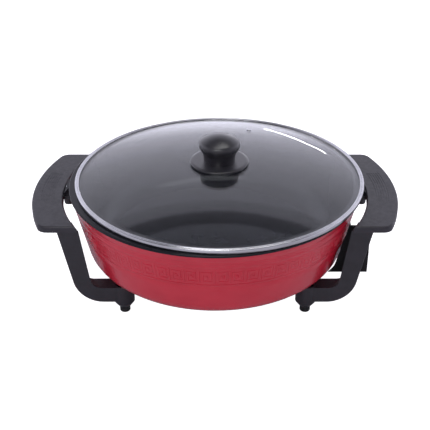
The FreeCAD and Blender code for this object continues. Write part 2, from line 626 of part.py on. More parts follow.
def leg_frame(side):
    plate_gap = 2 * FIT
    plate_top = GRIP_TOP - GRIP_SKIN - plate_gap
    plate = grip_sector(GRIP_INNER_RADIUS + GRIP_SKIN + plate_gap, GRIP_OUTER_RADIUS - GRIP_SKIN - plate_gap,
                        GRIP_HALF_LENGTH - GRIP_SKIN - plate_gap, GRIP_BOTTOM, plate_top)
    corner_x = math.sqrt(GRIP_MIDDLE_RADIUS ** 2 - GRIP_HALF_LENGTH ** 2)
    outer_corners = [e for e in plate.Edges if e.BoundBox.ZLength > 1 and e.BoundBox.XMin > corner_x]
    plate = plate.makeFillet(GRIP_CORNER_RADIUS - GRIP_SKIN, outer_corners)
    tongue = block(LUG_X - LUG_BOSS_TIP_RADIUS, GRIP_INNER_RADIUS + 2 * GRIP_SKIN,
                   -LUG_HALF_WIDTH, LUG_HALF_WIDTH, GRIP_BOTTOM, plate_top)
    boss = Part.makeCone(LUG_BOSS_TIP_RADIUS, LUG_BOSS_TOP_RADIUS, LUG_BOSS_DROP,
                         V(LUG_X, 0, GRIP_BOTTOM - LUG_BOSS_DROP))
    legs = front_and_back(leg().fuse(post()))
    frame = joined(plate, tongue, boss, *legs)
    cuts = [upright(LUG_SCREW_RADIUS + FIT, GRIP_BOTTOM - LUG_BOSS_DROP - 1, plate_top + 1, LUG_X),
            upright(LUG_HEAD_RADIUS + 3 * FIT, GRIP_BOTTOM - LUG_BOSS_DROP - 1,
                    GRIP_BOTTOM - LUG_BOSS_DROP / 2, LUG_X)]
    cuts += [upright(GRIP_BOSS_RADIUS + 2 * FIT, GRIP_BOTTOM - 1, plate_top + 1, x, y)
             for x, y in grip_screw_places()]
    for y in (-POST_Y, POST_Y):
        cuts.append(upright(POST_CUP_RADIUS, BOSS_BOTTOM, POST_TOP + 1, POST_X, y))
        cuts.append(upright(LEG_SCREW_RADIUS + 3 * FIT, POST_BOTTOM, POST_TOP, POST_X, y))
        cuts.append(upright(FOOT_PLUG_RADIUS + FIT, POST_BOTTOM - 1, SHOULDER_HEIGHT, POST_X, y))
    if SIDES[side] > 0:
        for x, z in guard_screw_places():
            cuts += front_and_back(Part.makeCylinder(GUARD_SCREW_RADIUS + FIT, GUARD_SCREW_REACH + 2,
                                                     V(x, -LEG_BACK_Y + 1, z), V(0, -1, 0)))
    return on_side(frame.cut(cuts), side)


def handle_screws(side):
    return on_side(Part.Compound([screw_up(GRIP_SCREW_RADIUS, GRIP_THICKNESS - GRIP_SKIN / 2 - 0.5,
                                           GRIP_HEAD_RADIUS, GRIP_HEAD_HEIGHT, x, y, GRIP_BOTTOM)
                                  for x, y in grip_screw_places()]), side)


def lug_screw(side):
    seat = GRIP_BOTTOM - LUG_BOSS_DROP / 2
    length = lug_ear_bottom() + LUG_SCREW_REACH - seat
    return screw_up(LUG_SCREW_RADIUS, length, LUG_HEAD_RADIUS, LUG_HEAD_HEIGHT, SIDES[side] * LUG_X, 0, seat)


def leg_screws():
    seat = SHOULDER_HEIGHT - WASHER_THICKNESS
    length = BOSS_BOTTOM + LEG_SCREW_REACH - 0.5 - seat
    return Part.Compound([screw_up(LEG_SCREW_RADIUS, length, LEG_HEAD_RADIUS, LEG_HEAD_HEIGHT, x, y, seat)
                          for x, y in post_places()])


def leg_washers():
    return Part.Compound([ring(LEG_SCREW_RADIUS + 2 * FIT, FOOT_PLUG_RADIUS - 2 * FIT,
                               SHOULDER_HEIGHT - WASHER_THICKNESS, SHOULDER_HEIGHT, x, y)
                          for x, y in post_places()])


def foot(x, y):
    """Soft foot: a short round pad with a plug that is pushed up into the post."""
    pad = turned([(0, 0, 0), (FOOT_RADIUS, 0, 1.2), (FOOT_RADIUS, POST_BOTTOM, 0.5),
                  (FOOT_PLUG_RADIUS, POST_BOTTOM, 0),
                  (FOOT_PLUG_RADIUS, POST_BOTTOM + FOOT_PLUG_LENGTH, 1.0),
                  (0, POST_BOTTOM + FOOT_PLUG_LENGTH, 0)])
    return pad.translate(V(x, y, 0))


# ---- Lid ----
def dome_height(radius):
    """Top of the glass at a radius."""
    return cap_height(radius, DOME_RADIUS, GLASS_APEX - GLASS_RISE, GLASS_APEX)


def on_vent(shape):
    """Moves a shape made about Z at the origin to stand square on the glass at the vent."""
    dome_sphere = (DOME_RADIUS ** 2 + GLASS_RISE ** 2) / (2 * GLASS_RISE)
    placed = shape.copy()
    placed.rotate(V(), V(0, 1, 0), math.degrees(math.asin(VENT_RADIUS / dome_sphere)))
    placed.translate(V(VENT_RADIUS, 0, dome_height(VENT_RADIUS)))
    placed.rotate(V(), V(0, 0, 1), VENT_ANGLE)
    return placed


def lid_glass():
    top_edge = GLASS_BOTTOM + GLASS_THICKNESS
    profile = [cap_arc(DOME_RADIUS, top_edge, GLASS_APEX),
               line((DOME_RADIUS, top_edge), (GLASS_EDGE_RADIUS, top_edge)),
               line((GLASS_EDGE_RADIUS, top_edge), (GLASS_EDGE_RADIUS, GLASS_BOTTOM)),
               line((GLASS_EDGE_RADIUS, GLASS_BOTTOM), (DOME_RADIUS, GLASS_BOTTOM)),
               cap_arc(DOME_RADIUS, GLASS_BOTTOM, GLASS_APEX - GLASS_THICKNESS),
               line((0, GLASS_APEX - GLASS_THICKNESS), (0, GLASS_APEX))]
    dome = turned_edges(profile)
    vent_hole = on_vent(upright(VENT_TUBE_RADIUS + FIT, -10, 10))
    return dome.cut([upright(GLASS_HOLE_RADIUS, LID_BOTTOM, GLASS_APEX + 5), vent_hole])


def lid_rim():
    inner = LID_RADIUS - BAND_REACH
    bottom_inside = LID_BOTTOM + BAND_THICKNESS
    top_inside = GLASS_BOTTOM + GLASS_THICKNESS + FIT
    wall = LID_RADIUS - BAND_THICKNESS
    return turned([(inner, LID_BOTTOM, 0),
                   (LID_RADIUS, LID_BOTTOM, BAND_THICKNESS * 1.5),
                   (LID_RADIUS, top_inside + BAND_THICKNESS, BAND_THICKNESS * 1.5),
                   (inner, top_inside + BAND_THICKNESS, 0),
                   (inner, top_inside, 0),
                   (wall, top_inside, 0),
                   (wall, bottom_inside, 0),
                   (inner, bottom_inside, 0)])


def vent_eyelet():
    under_glass = -GLASS_THICKNESS - 2 * FIT
    cap = turned([(VENT_BORE_RADIUS, FIT, 0), (VENT_FLANGE_RADIUS, FIT, 0.3),
                  (VENT_FLANGE_RADIUS * 0.8, VENT_FLANGE, 0.4), (VENT_BORE_RADIUS, VENT_FLANGE, 0)])
    tube = ring(VENT_BORE_RADIUS, VENT_TUBE_RADIUS, under_glass, VENT_FLANGE / 2)
    curl = ring(VENT_BORE_RADIUS, VENT_FLANGE_RADIUS, under_glass - VENT_FLANGE / 2, under_glass)
    return on_vent(joined(cap, tube, curl))


# ---- Knob ----
def knob_base_top():
    return dome_height(KNOB_BASE_RADIUS - KNOB_BASE_RIM) + 2 * FIT + KNOB_BASE_THICKNESS


def knob_base():
    top = knob_base_top()
    rim_bottom = top - KNOB_BASE_THICKNESS
    recess = GLASS_APEX + GASKET_THICKNESS
    hole = KNOB_SCREW_RADIUS + 2 * FIT
    rim_inner = KNOB_BASE_RADIUS - KNOB_BASE_RIM
    return turned([(hole, recess, 0), (rim_inner, recess, 0), (rim_inner, rim_bottom, 0),
                   (KNOB_BASE_RADIUS, rim_bottom, 0.8), (KNOB_BASE_RADIUS, top, 1.4), (hole, top, 0)])


def knob_grip():
    base = knob_base_top()

    def at(radius, height):
        return (radius, base + height)

    pocket_top = INSERT_LENGTH + 1
    pocket = INSERT_RADIUS + FIT / 2
    neck_middle = (KNOB_NECK_RADIUS + KNOB_NECK_TOP_RADIUS) / 2 - KNOB_NECK_HOLLOW
    profile = [line(at(0, pocket_top), at(pocket, pocket_top)),
               line(at(pocket, pocket_top), at(pocket, 0)),
               line(at(pocket, 0), at(KNOB_NECK_RADIUS, 0)),
               arc(at(KNOB_NECK_RADIUS, 0), at(neck_middle, KNOB_NECK_HEIGHT / 2),
                   at(KNOB_NECK_TOP_RADIUS, KNOB_NECK_HEIGHT)),
               line(at(KNOB_NECK_TOP_RADIUS, KNOB_NECK_HEIGHT),
                    at(KNOB_LOWER_EDGE_RADIUS, KNOB_LOWER_EDGE_HEIGHT)),
               arc(at(KNOB_LOWER_EDGE_RADIUS, KNOB_LOWER_EDGE_HEIGHT), at(KNOB_RADIUS, KNOB_WIDEST_HEIGHT),
                   at(KNOB_SHOULDER_RADIUS, KNOB_SHOULDER_HEIGHT)),
               cap_arc(KNOB_SHOULDER_RADIUS, base + KNOB_SHOULDER_HEIGHT, base + KNOB_HEIGHT),
               line(at(0, KNOB_HEIGHT), at(0, pocket_top))]
    return turned_edges(profile)


def knob_insert():
    bottom = knob_base_top() + FIT
    return ring(KNOB_SCREW_RADIUS + FIT / 2, INSERT_RADIUS, bottom, bottom + INSERT_LENGTH)


def knob_gaskets():
    under = GLASS_APEX - GLASS_THICKNESS - FIT
    hole = KNOB_SCREW_RADIUS + 2 * FIT
    return Part.Compound([ring(hole, GASKET_RADIUS, GLASS_APEX, GLASS_APEX + GASKET_THICKNESS),
                          ring(hole, KNOB_WASHER_RADIUS, under - GASKET_THICKNESS, under)])


def washer_top():
    return GLASS_APEX - GLASS_THICKNESS - FIT - GASKET_THICKNESS


def knob_washer():
    return ring(KNOB_SCREW_RADIUS + FIT, KNOB_WASHER_RADIUS, washer_top() - WASHER_THICKNESS, washer_top())


def knob_screw():
    seat = washer_top() - WASHER_THICKNESS
    length = knob_base_top() + INSERT_LENGTH * 0.8 - seat
    return screw_up(KNOB_SCREW_RADIUS, length, KNOB_HEAD_RADIUS, KNOB_HEAD_HEIGHT, 0, 0, seat)


def lid_nodes():
    """The lid's pieces, made about the Z axis and then moved to where the lid rests."""
    pieces = {
        "lid_glass": lid_glass(),
        "lid_rim": lid_rim(),
        "vent_eyelet": vent_eyelet(),
        "knob_base": knob_base(),
        "knob_grip": knob_grip(),
        "knob_insert": knob_insert(),
        "knob_gaskets": knob_gaskets(),
        "knob_washer": knob_washer(),
        "knob_screw": knob_screw(),
    }
    return {name: shape.translate(V(LID_OFFSET_X, 0, 0)) for name, shape in pieces.items()}


def base_nodes():
    pieces = {
        "pan_body": pan_body(),
        "outer_shell": outer_shell(),
        "heating_element": heating_element(),
        "bottom_plate": bottom_plate(),
        "bottom_plate_screws": bottom_plate_screws(),
        "socket_block": socket_block(),
        "terminal_insulators": terminal_insulators(),
        "terminal_pins": terminal_pins(),
        "probe_guard": probe_guard(),
        "guard_screws": guard_screws(),
        "leg_screws": leg_screws(),
        "leg_washers": leg_washers(),
    }
    for side, direction in SIDES.items():
        pieces[f"handle_cover_{side}"] = handle_cover(side)
        pieces[f"leg_frame_{side}"] = leg_frame(side)
        pieces[f"handle_screws_{side}"] = handle_screws(side)
        pieces[f"lug_screw_{side}"] = lug_screw(side)
        pieces[f"front_{side}_foot"] = foot(direction * POST_X, -POST_Y)
        pieces[f"rear_{side}_foot"] = foot(direction * POST_X, POST_Y)
    return pieces


os.makedirs("parts", exist_ok=True)
for name, shape in {**base_nodes(), **lid_nodes()}.items():
    shape.exportStep(f"parts/{name}.step")
    box = shape.BoundBox
    print(f"{name:22} solids {len(shape.Solids)}  volume {shape.Volume / 1000:9.2f} cm3  "
          f"x {box.XMin:.1f}..{box.XMax:.1f}  y {box.YMin:.1f}..{box.YMax:.1f}  z {box.ZMin:.1f}..{box.ZMax:.1f}")
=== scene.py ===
import math

import bmesh
import bpy
from mathutils import Matrix, Vector


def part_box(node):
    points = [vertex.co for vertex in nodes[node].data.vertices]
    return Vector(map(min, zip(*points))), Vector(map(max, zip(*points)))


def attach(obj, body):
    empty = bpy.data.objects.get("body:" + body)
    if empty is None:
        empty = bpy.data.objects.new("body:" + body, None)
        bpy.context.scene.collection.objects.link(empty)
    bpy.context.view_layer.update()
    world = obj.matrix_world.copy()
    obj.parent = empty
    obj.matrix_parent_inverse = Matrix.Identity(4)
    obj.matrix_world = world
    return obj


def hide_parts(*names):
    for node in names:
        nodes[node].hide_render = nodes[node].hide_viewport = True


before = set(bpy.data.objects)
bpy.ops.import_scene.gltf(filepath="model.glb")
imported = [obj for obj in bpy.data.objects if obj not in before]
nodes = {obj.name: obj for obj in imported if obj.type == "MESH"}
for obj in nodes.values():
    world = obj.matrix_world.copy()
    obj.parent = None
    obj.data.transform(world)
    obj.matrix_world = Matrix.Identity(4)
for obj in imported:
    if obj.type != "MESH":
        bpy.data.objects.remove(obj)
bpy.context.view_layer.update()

scene = bpy.context.scene

# ---- Camera ----
# A long lens looks down on the griddle from in front, a little above the lid.
CAMERA_PLACE = (0, -0.96111, 0.63647)
CAMERA_TILT = 60.3           # degrees from straight down
CAMERA_LENS = 71.92          # mm, on a 36 mm sensor

camera_data = bpy.data.cameras.new("camera")
camera_data.lens = CAMERA_LENS
camera_data.sensor_width = 36
camera = bpy.data.objects.new("camera", camera_data)
camera.location = CAMERA_PLACE
camera.rotation_euler = (math.radians(CAMERA_TILT), 0, 0)
scene.collection.objects.link(camera)
scene.camera = camera
scene.view_settings.view_transform = "Standard"

# ---- Studio light ----
# A white backdrop lights the griddle from behind and from the sides. It is brightest near the floor
# and ends in a soft upper edge, which is what the glass mirrors. The room in front is darker.
BACKDROP_STEPS = (          # sine of the elevation, brightness
    (0.00, 2.0), (0.08, 1.75), (0.18, 1.25), (0.34, 1.02), (0.50, 0.90), (0.56, 0.84),
    (0.575, 0.80), (0.655, 0.84), (0.665, 0.70), (0.700, 0.64), (0.715, 0.26), (0.80, 0.08), (1.00, 0.16))
BACKDROP_TINT = (0.88, 0.87, 1.0, 1)
FRONT_SHADE = 0.35           # brightness of the room in front, as a share of the backdrop
SHADE_FROM = -0.55           # how far forward a direction points where the room is fully dim
SHADE_TO = 0.05              # and where the full backdrop begins

world = bpy.data.worlds.new("studio")
world.use_nodes = True
scene.world = world
tree = world.node_tree
direction = tree.nodes.new("ShaderNodeTexCoord")
heading = tree.nodes.new("ShaderNodeSeparateXYZ")
ramp = tree.nodes.new("ShaderNodeValToRGB")
brighten = tree.nodes.new("ShaderNodeMath")
brighten.operation = "MULTIPLY"
brightest = max(level for _, level in BACKDROP_STEPS)
while len(ramp.color_ramp.elements) < len(BACKDROP_STEPS):
    ramp.color_ramp.elements.new(0.5)
for element, (sine, level) in zip(ramp.color_ramp.elements, BACKDROP_STEPS):
    element.position = sine
    share = level / brightest
    element.color = (share, share, share, 1)
brighten.inputs[1].default_value = brightest
backdrop = tree.nodes["Background"]
backdrop.inputs["Color"].default_value = BACKDROP_TINT
shade = tree.nodes.new("ShaderNodeMapRange")
shade.inputs["From Min"].default_value = SHADE_FROM
shade.inputs["From Max"].default_value = SHADE_TO
shade.inputs["To Min"].default_value = FRONT_SHADE
shaded = tree.nodes.new("ShaderNodeMath")
shaded.operation = "MULTIPLY"
tree.links.new(direction.outputs["Generated"], heading.inputs[0])
tree.links.new(heading.outputs["Z"], ramp.inputs["Fac"])
tree.links.new(ramp.outputs["Color"], brighten.inputs[0])
tree.links.new(heading.outputs["Y"], shade.inputs["Value"])
tree.links.new(brighten.outputs[0], shaded.inputs[0])
tree.links.new(shade.outputs["Result"], shaded.inputs[1])
tree.links.new(shaded.outputs[0], backdrop.inputs["Strength"])


def softbox(name, place, aim, width, depth, watts, turn=0.0):
    """Area light at a place, facing a point, turned about its own axis."""
    data = bpy.data.lights.new(name, "AREA")
    data.shape = "RECTANGLE"
    data.size = width
    data.size_y = depth
    data.energy = watts
    lamp = bpy.data.objects.new(name, data)
    facing = (Vector(aim) - Vector(place)).to_track_quat("-Z", "Y")
    turned = facing.to_matrix().to_4x4() @ Matrix.Rotation(turn, 4, "Z")
    lamp.matrix_world = Matrix.Translation(place) @ turned
    scene.collection.objects.link(lamp)


softbox("front_fill", (-0.5, -2.4, 1.5), (0, 0, 0.1), 1.6, 0.9, 19)
softbox("overhead", (0.2, -0.2, 2.6), (0, 0, 0.1), 2.2, 1.2, 20)
softbox("rear_strip", (0.62, 3.0, 0.64), (0.1, 0.1, 0.15), 0.74, 0.004, 0.5, math.radians(-41))

# ---- Floor ----
# A plain white acrylic table that the griddle stands on. It glows only where it is seen directly,
# so it stays pale without lighting the legs and the shell from below.
FLOOR_HALF = 14
FLOOR_GLOSS = 0.6
FLOOR_TINT = (0.66, 0.65, 0.71, 1)

floor_mesh = bpy.data.meshes.new("floor")
bm = bmesh.new()
bmesh.ops.create_grid(bm, x_segments=1, y_segments=1, size=FLOOR_HALF)
bm.to_mesh(floor_mesh)
bm.free()
floor = bpy.data.objects.new("floor", floor_mesh)
scene.collection.objects.link(floor)
floor_material = bpy.data.materials.new("white_acrylic")
floor_material.use_nodes = True
floor_shader = floor_material.node_tree.nodes["Principled BSDF"]
floor_shader.inputs["Base Color"].default_value = FLOOR_TINT
floor_shader.inputs["Roughness"].default_value = FLOOR_GLOSS
floor_shader.inputs["Emission Color"].default_value = (1, 1, 1, 1)
seen_directly = floor_material.node_tree.nodes.new("ShaderNodeLightPath")
floor_material.node_tree.links.new(seen_directly.outputs["Is Camera Ray"],
                                   floor_shader.inputs["Emission Strength"])
floor_mesh.materials.append(floor_material)

# ---- Outer shell ----
# A thin steel pressing that wraps the pan and is enamelled wine red. A band of square key pattern
# and four fine lines are pressed into its wall, and the pan's lip covers its top edge.
SHELL_TOP = 0.138
SHELL_TOP_RADIUS = 0.1805
SHELL_LEAN = 0.229
SHELL_FOOT = 0.043
SHELL_HOLE = 0.128
SHELL_ROUND_OUTSIDE = 0.02025
SHELL_ROUND_INSIDE = 0.0189
SHELL_WALL = 0.0012
KEY_UNITS = 64               # pattern units round the shell
KEY_TOP = 0.1175
KEY_CELL = 0.00272           # height of one row of the pattern
KEY_ROWS = ("#######.",
            "#.....#.",
            "#.###.#.",
            "#.#.#.#.",
            "#.#...#.",
            "#.#####.",
            "#.......",
            "########")
KEY_SLOPE = 0.00030
KEY_DEPTH = 0.00045
FINE_LINES = (0.1295, 0.1262, 0.1200, 0.0932)
FINE_LINE_HALF = 0.0005
FINE_LINE_DEPTH = 0.0002
PLAIN_ROWS = (0.084, 0.076)  # rows of faces in the plain wall below the pattern


def outline(bm, corners, closed=False):
    """Chain of edges in the XZ plane from corners (radius, height, rounding)."""
    verts = [bm.verts.new((r, 0, z)) for r, z, _ in corners]
    for here, following in zip(verts, verts[1:]):
        bm.edges.new((here, following))
    if closed:
        bm.edges.new((verts[-1], verts[0]))
    for vert, (_, _, rounding) in zip(verts, corners):
        if rounding:
            bmesh.ops.bevel(bm, geom=[vert], offset=rounding, offset_type="OFFSET", segments=8,
                            profile=0.5, affect="VERTICES", material=-1, clamp_overlap=True)


def spin_round(bm, steps):
    """Turns the outline about Z into a closed skin with outward faces."""
    bmesh.ops.spin(bm, geom=bm.verts[:] + bm.edges[:], cent=(0, 0, 0), axis=(0, 0, 1),
                   angle=math.tau, steps=steps, use_merge=True)
    bmesh.ops.remove_doubles(bm, verts=bm.verts, dist=1e-6)
    bmesh.ops.recalc_face_normals(bm, faces=bm.faces)


def piece(bm, name, material, body, replaced, sharp=30, place=(0, 0, 0)):
    """Finished mesh object that rides on a body and stands for the nodes it replaces."""
    bmesh.ops.translate(bm, verts=bm.verts, vec=place)
    mesh = bpy.data.meshes.new(name)
    bm.to_mesh(mesh)
    bm.free()
    mesh.shade_smooth()
    mesh.set_sharp_from_angle(angle=math.radians(sharp))
    mesh.materials.append(material)
    made = bpy.data.objects.new(name, mesh)
    scene.collection.objects.link(made)
    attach(made, body)
    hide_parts(*replaced)
    return made


def noise(tree, scale, detail=3.0, source=None):
    """Noise on object coordinates, or on another vector; scale is in features per metre."""
    texture = tree.nodes.new("ShaderNodeTexNoise")
    texture.inputs["Scale"].default_value = scale
    texture.inputs["Detail"].default_value = detail
    if source is None:
        coordinates = tree.nodes.new("ShaderNodeTexCoord")
        source = coordinates.outputs["Object"]
    tree.links.new(source, texture.inputs["Vector"])
    return texture.outputs["Fac"]


def spread(tree, value, low, high, start=0.35, end=0.65):
    """Maps a noise value onto a range."""
    node = tree.nodes.new("ShaderNodeMapRange")
    node.inputs["From Min"].default_value = start
    node.inputs["From Max"].default_value = end
    node.inputs["To Min"].default_value = low
    node.inputs["To Max"].default_value = high
    tree.links.new(value, node.inputs["Value"])
    return node.outputs["Result"]


def tinted(tree, value, dark, light):
    """Colour between two tones by a value."""
    node = tree.nodes.new("ShaderNodeMix")
    node.data_type = "RGBA"
    node.inputs["A"].default_value = (*dark, 1)
    node.inputs["B"].default_value = (*light, 1)
    tree.links.new(value, node.inputs["Factor"])
    return node.outputs["Result"]


def add_bump(tree, shader, value, depth, before=None):
    """Bump of a real depth in metres, on top of an earlier one."""
    node = tree.nodes.new("ShaderNodeBump")
    node.inputs["Strength"].default_value = 1.0
    node.inputs["Distance"].default_value = depth
    tree.links.new(value, node.inputs["Height"])
    if before is not None:
        tree.links.new(before, node.inputs["Normal"])
    tree.links.new(node.outputs["Normal"], shader.inputs["Normal"])
    return node.outputs["Normal"]


def surface(name, dark, light, roughness, mottle=40.0, grain=1500.0, grain_depth=0.00004, **sockets):
    """Material that drifts between two tones, with an uneven gloss and a fine grain."""
    material = bpy.data.materials.new(name)
    material.use_nodes = True
    tree = material.node_tree
    shader = tree.nodes["Principled BSDF"]
    drift = noise(tree, mottle, 4.0)
    tree.links.new(tinted(tree, spread(tree, drift, 0, 1), dark, light), shader.inputs["Base Color"])
    tree.links.new(spread(tree, noise(tree, mottle * 3.1), *roughness), shader.inputs["Roughness"])
    add_bump(tree, shader, noise(tree, grain, 2.0), grain_depth)
    for socket, value in sockets.items():
        shader.inputs[socket.replace("_", " ")].default_value = value
    return material


red_enamel = surface("red_enamel", (0.60, 0.015, 0.038), (0.66, 0.021, 0.047), (0.22, 0.27),
                     mottle=22, grain=900, grain_depth=0.000008,
                     Coat_Weight=0.35, Coat_Roughness=0.06, Specular_IOR_Level=0.5)


def shell_radius(height):
    return SHELL_TOP_RADIUS - SHELL_LEAN * (SHELL_TOP - height)


wall_points = [(SHELL_TOP, 0.0)]
for line_height in FINE_LINES[:3]:
    wall_points += [(line_height + FINE_LINE_HALF, 0), (line_height, FINE_LINE_DEPTH),
                    (line_height - FINE_LINE_HALF, 0)]
wall_points += [(KEY_TOP - KEY_CELL * row, 0) for row in range(len(KEY_ROWS) + 1)]
wall_points += [(FINE_LINES[3] + FINE_LINE_HALF, 0), (FINE_LINES[3], FINE_LINE_DEPTH),
                (FINE_LINES[3] - FINE_LINE_HALF, 0)]
wall_points += [(row_height, 0) for row_height in PLAIN_ROWS]
skin = [(shell_radius(z) - depth, z, 0) for z, depth in wall_points]
skin += [(shell_radius(SHELL_FOOT), SHELL_FOOT, SHELL_ROUND_OUTSIDE), (SHELL_HOLE, SHELL_FOOT, 0),
         (SHELL_HOLE, SHELL_FOOT + SHELL_WALL, 0),
         (shell_radius(SHELL_FOOT) - SHELL_WALL, SHELL_FOOT + SHELL_WALL, SHELL_ROUND_INSIDE),
         (SHELL_TOP_RADIUS - SHELL_WALL, SHELL_TOP, 0)]
bm = bmesh.new()
outline(bm, skin, closed=True)
key_columns = KEY_UNITS * len(KEY_ROWS[0])
spin_round(bm, key_columns)
pressed = []
for face in bm.faces:
    middle = face.calc_center_median()
    row = int((KEY_TOP - middle.z) / KEY_CELL)
    outside = math.hypot(middle.x, middle.y) > shell_radius(middle.z) - SHELL_WALL / 2
    if outside and 0 <= KEY_TOP - middle.z and row < len(KEY_ROWS):
        column = int(math.atan2(middle.y, middle.x) / math.tau * key_columns + key_columns)
        if KEY_ROWS[row][column % len(KEY_ROWS[0])] == "#":
            pressed.append(face)
bmesh.ops.inset_region(bm, faces=pressed, thickness=KEY_SLOPE, depth=-KEY_DEPTH, use_even_offset=True)
piece(bm, "shell", red_enamel, "base", ["outer_shell"], sharp=24)

# ---- Pan ----
# The cast aluminium pan. Its inside and its rolled lip have a glossy near-black non-stick coat,
# while its underside and the bosses for the legs are bare casting.
COAT_EDGE = 0.0575           # height where the coat gives way to bare metal

pan_coat = surface("nonstick_coat", (0.012, 0.012, 0.016), (0.016, 0.016, 0.021), (0.07, 0.09),
                   mottle=60, grain=2600, grain_depth=0.000001, Specular_IOR_Level=0.2)
tree = pan_coat.node_tree
shader = tree.nodes["Principled BSDF"]
height = tree.nodes.new("ShaderNodeSeparateXYZ")
tree.links.new(tree.nodes.new("ShaderNodeTexCoord").outputs["Object"], height.inputs[0])
bare = tree.nodes.new("ShaderNodeMath")
bare.operation = "LESS_THAN"
bare.inputs[1].default_value = COAT_EDGE
tree.links.new(height.outputs["Z"], bare.inputs[0])
coat_colour = shader.inputs["Base Color"].links[0].from_socket
metal_colour = tinted(tree, spread(tree, noise(tree, 90), 0, 1), (0.34, 0.34, 0.35), (0.5, 0.5, 0.51))
choice = tree.nodes.new("ShaderNodeMix")
choice.data_type = "RGBA"
tree.links.new(bare.outputs[0], choice.inputs["Factor"])
tree.links.new(coat_colour, choice.inputs["A"])
tree.links.new(metal_colour, choice.inputs["B"])
tree.links.new(choice.outputs["Result"], shader.inputs["Base Color"])
tree.links.new(bare.outputs[0], shader.inputs["Metallic"])


def dress(material, *names):
    """Gives CAD nodes their material."""
    for name in names:
        for material_slot in nodes[name].material_slots:
            material_slot.material = material


dress(pan_coat, "pan_body")

# ---- Heating element and bottom plate ----
# A dull steel sheathed element lies in its ridge under the pan, and a stamped steel disc closes
# the bottom. Both keep the fine rings and straw tint of metal that gets hot.


def ringed(name, dark, light, roughness, ring_scale, depth, centre=(0, 0, 0), **sockets):
    """Metal with fine turning rings round an upright axis through the centre."""
    material = surface(name, dark, light, roughness, **sockets)
    tree = material.node_tree
    shader = tree.nodes["Principled BSDF"]
    shader.inputs["Metallic"].default_value = 1.0
    shift = tree.nodes.new("ShaderNodeMapping")
    shift.inputs["Location"].default_value = [-c for c in centre]
    split = tree.nodes.new("ShaderNodeSeparateXYZ")
    flat = tree.nodes.new("ShaderNodeCombineXYZ")
    length = tree.nodes.new("ShaderNodeVectorMath")
    length.operation = "LENGTH"
    rings = tree.nodes.new("ShaderNodeCombineXYZ")
    coordinates = tree.nodes.new("ShaderNodeTexCoord")
    tree.links.new(coordinates.outputs["Object"], shift.inputs["Vector"])
    tree.links.new(shift.outputs[0], split.inputs[0])
    tree.links.new(split.outputs["X"], flat.inputs["X"])
    tree.links.new(split.outputs["Y"], flat.inputs["Y"])
    tree.links.new(flat.outputs[0], length.inputs[0])
    tree.links.new(length.outputs["Value"], rings.inputs["X"])
    tree.links.new(split.outputs["Z"], rings.inputs["Y"])
    streaks = noise(tree, ring_scale, 2.0, rings.outputs[0])
    grain = shader.inputs["Normal"].links[0].from_socket
    add_bump(tree, shader, streaks, depth, before=grain)
    return material


hot_steel = ringed("hot_steel", (0.30, 0.27, 0.22), (0.46, 0.44, 0.41), (0.34, 0.5), 900, 0.00006,
                   mottle=18)
dress(hot_steel, "heating_element")
PLATE_EDGE = 0.132
PLATE_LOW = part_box("bottom_plate")[0].z
PLATE_THICK = 0.0012
PLATE_BEADS = (0.030, 0.062, 0.094)
bead_half = 0.004
bead_rise = 0.0012
underside = [(0, PLATE_LOW, 0)]
for bead in PLATE_BEADS:
    underside += [(bead - bead_half, PLATE_LOW, 0.001), (bead, PLATE_LOW + bead_rise, 0.0015),
                  (bead + bead_half, PLATE_LOW, 0.001)]
underside += [(PLATE_EDGE, PLATE_LOW, 0.0003)]
topside = [(r, z + PLATE_THICK, rounding) for r, z, rounding in reversed(underside)]
bm = bmesh.new()
outline(bm, underside + topside)
spin_round(bm, 192)
piece(bm, "bottom_disc", hot_steel, "base", ["bottom_plate"])

zinc = surface("zinc_plate", (0.45, 0.46, 0.47), (0.62, 0.63, 0.65), (0.28, 0.42), mottle=400,
               grain=5000, grain_depth=0.00001, Metallic=1.0)
dress(zinc, "bottom_plate_screws", "leg_screws", "leg_washers", "lug_screw_left", "lug_screw_right",
      "handle_screws_left", "handle_screws_right", "guard_screws", "knob_washer", "knob_screw")

# ---- Probe socket ----
# Two nickel-plated pins in ceramic bushes, with an aluminium block between them that takes the
# rod of the plug-in control.
cast_block = surface("cast_block", (0.42, 0.42, 0.43), (0.58, 0.58, 0.6), (0.4, 0.55), mottle=250,
                     grain=2500, grain_depth=0.00005, Metallic=1.0)
bush_ceramic = surface("bush_ceramic", (0.66, 0.63, 0.55), (0.80, 0.78, 0.71), (0.5, 0.65), mottle=300,
                       grain=3500, grain_depth=0.00004)
pin_nickel = surface("pin_nickel", (0.66, 0.64, 0.6), (0.78, 0.76, 0.72), (0.14, 0.26), mottle=500,
                     grain=6000, grain_depth=0.000008, Metallic=1.0)
dress(cast_block, "socket_block")
dress(bush_ceramic, "terminal_insulators")
dress(pin_nickel, "terminal_pins")

# ---- Handles, legs and guard ----
# Phenolic mouldings: each grip is a cover screwed onto a frame whose two legs bend in under the
# pan. The guard round the socket is the same plastic with a finer finish, its colour darkened as painted
# shade for the shade it sits in under the pan.
moulded_black = surface("moulded_black", (0.014, 0.013, 0.018), (0.019, 0.018, 0.025), (0.36, 0.46),
                        mottle=70, grain=1700, grain_depth=0.00006, Specular_IOR_Level=0.6)
grip_black = surface("grip_black", (0.020, 0.018, 0.026), (0.027, 0.025, 0.035), (0.38, 0.48),
                     mottle=55, grain=1500, grain_depth=0.00008, Specular_IOR_Level=0.6)
# The guard's base colour is darker than the other mouldings' as painted shade, not a different plastic.
guard_black = surface("guard_black", (0.006, 0.006, 0.007), (0.010, 0.010, 0.012), (0.5, 0.62),
                      mottle=90, grain=2200, grain_depth=0.00005, Specular_IOR_Level=0.3)
dress(grip_black, "handle_cover_left", "handle_cover_right")
dress(moulded_black, "leg_frame_left", "leg_frame_right")
dress(guard_black, "probe_guard")

